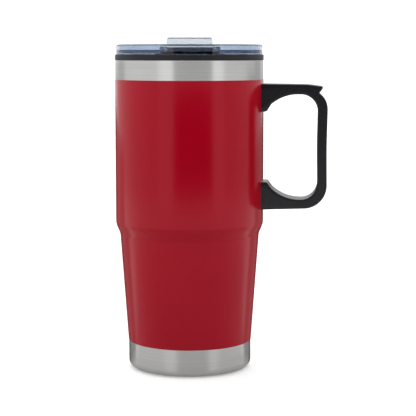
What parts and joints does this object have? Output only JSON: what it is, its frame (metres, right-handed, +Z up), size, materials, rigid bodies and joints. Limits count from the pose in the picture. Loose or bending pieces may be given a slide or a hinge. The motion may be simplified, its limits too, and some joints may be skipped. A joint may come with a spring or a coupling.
{
  "type": "insulated travel mug",
  "caption": "Double-wall steel travel mug with a stepped waist, side handle, clear push-on lid and sliding drink closure.",
  "frame": {"origin": "centre of the foot ring on the surface that the mug stands on, on the mug's axis", "axes": "+Z up along the mug's axis, +X towards the handle, -Y towards the drinker. The lid sits turned by 6 degrees, so its slider runs 6 degrees off Y."},
  "size_m": [0.1288, 0.09, 0.2017],
  "materials": {
    "steel_shell": "circumferentially brushed",
    "steel_liner": "satin, spun",
    "steel_base": "satin, stamped",
    "red_coat": "fine powder coat",
    "sealing_glass": "fused bead",
    "getter_metal": "sintered",
    "bracket_steel": "stamped",
    "handle_black": "fine moulded texture",
    "screw_steel": "plated",
    "plug_black": "matt",
    "clear_lid": "clear, polished",
    "gasket_black": "satin silicone",
    "carriage_dark": "moulded",
    "clear_cap": "clear, polished",
    "seal_grey": "satin silicone"
  },
  "bodies": {
    "mug": {"outer_shell": "steel_shell", "powder_coat": "red_coat", "inner_liner": "steel_liner", "base_plate": "steel_base", "seal_bead": "sealing_glass", "getter": "getter_metal", "upper_bracket": "bracket_steel", "lower_bracket": "bracket_steel", "handle": "handle_black", "handle_screws": "screw_steel", "screw_plugs": "plug_black"},
    "lid": {"lid_body": "clear_lid", "lid_gasket": "gasket_black"},
    "slider": {"slider_carriage": "carriage_dark", "slider_cap": "clear_cap", "slider_seal": "seal_grey"}
  },
  "joints": [
    {"name": "lid_lift", "type": "slide", "parent": "mug", "child": "lid", "axis": [0, 0, 1], "range_m": [0, 0.06]},
    {"name": "slider_slide", "type": "slide", "parent": "lid", "child": "slider", "axis": [-0.1045, 0.9945, 0], "range_m": [0, 0.016]}
  ]
}
